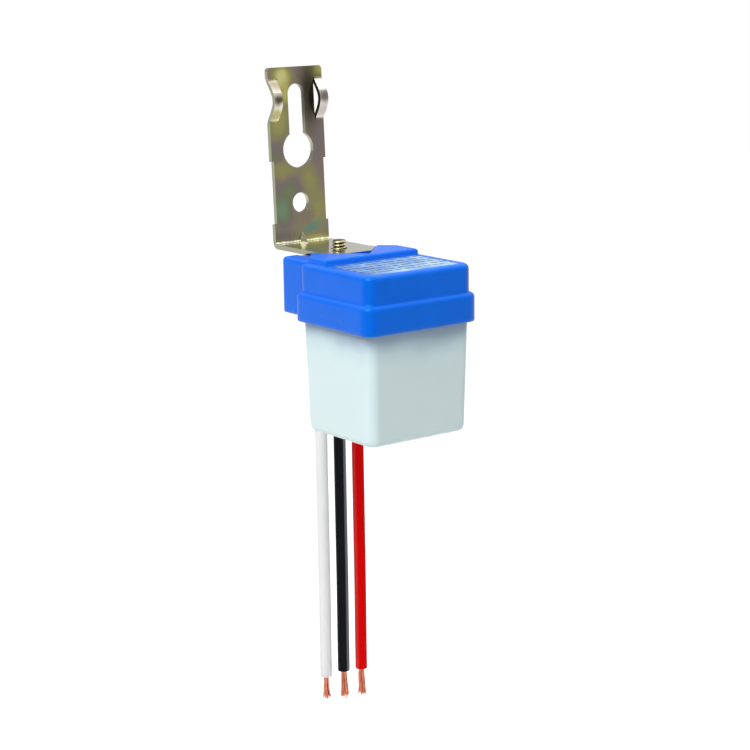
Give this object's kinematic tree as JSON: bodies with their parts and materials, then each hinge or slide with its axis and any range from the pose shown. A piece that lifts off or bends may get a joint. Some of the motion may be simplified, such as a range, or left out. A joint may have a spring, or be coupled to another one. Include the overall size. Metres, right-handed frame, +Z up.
{
  "type": "photocell switch",
  "caption": "Photocell switch for a wall: blue moulded base with a milky light cover below, an angled steel bracket with a keyhole above, and loose leads with bare ends.",
  "frame": {"origin": "on the back face of the bracket's leg, on its centre line, midway between the round hole and the keyhole", "axes": "+Z up the wall, +X along the wall, -Y away from the wall towards the viewer"},
  "size_m": [0.044, 0.0691, 0.2134],
  "materials": {
    "base": "moulded, satin blue",
    "label": "silvered film, bare",
    "cover": "moulded, milky and satin",
    "bracket": "yellow passivated zinc plate",
    "screw": "zinc plated",
    "washer": "plain spring steel",
    "gland": "moulded, matt",
    "lead_white": "extruded, satin",
    "lead_black": "extruded, satin",
    "lead_red": "extruded, satin",
    "copper": "bare copper strands",
    "relay": "moulded",
    "film_capacitor": "dipped resin",
    "can_sleeve": "shrunk sleeve",
    "transistor": "moulded",
    "light_sensor": "fired ceramic under clear resin",
    "diode": "moulded",
    "resistor": "lacquered",
    "board_screw": "zinc plated",
    "board": "paper laminate"
  },
  "bodies": {
    "root": {"base_housing": "base", "label_plate": "label", "diffuser_cover": "cover", "mounting_bracket": "bracket", "bracket_screw": "screw", "lock_washer": "washer", "lead_gland": "gland", "lead_white": "lead_white", "lead_black": "lead_black", "lead_red": "lead_red", "strands_white": "copper", "strands_black": "copper", "strands_red": "copper", "tail_white": "copper", "tail_black": "copper", "tail_red": "copper", "relay": "relay", "film_capacitor": "film_capacitor", "electrolytic_capacitor": "can_sleeve", "transistor": "transistor", "light_sensor": "light_sensor", "rectifier_diode_1": "diode", "rectifier_diode_2": "diode", "rectifier_diode_3": "diode", "rectifier_diode_4": "diode", "bleed_resistor": "resistor", "sensor_resistor": "resistor", "board_screw_rear": "board_screw", "board_screw_front": "board_screw", "circuit_board": "board"}
  },
  "joints": []
}
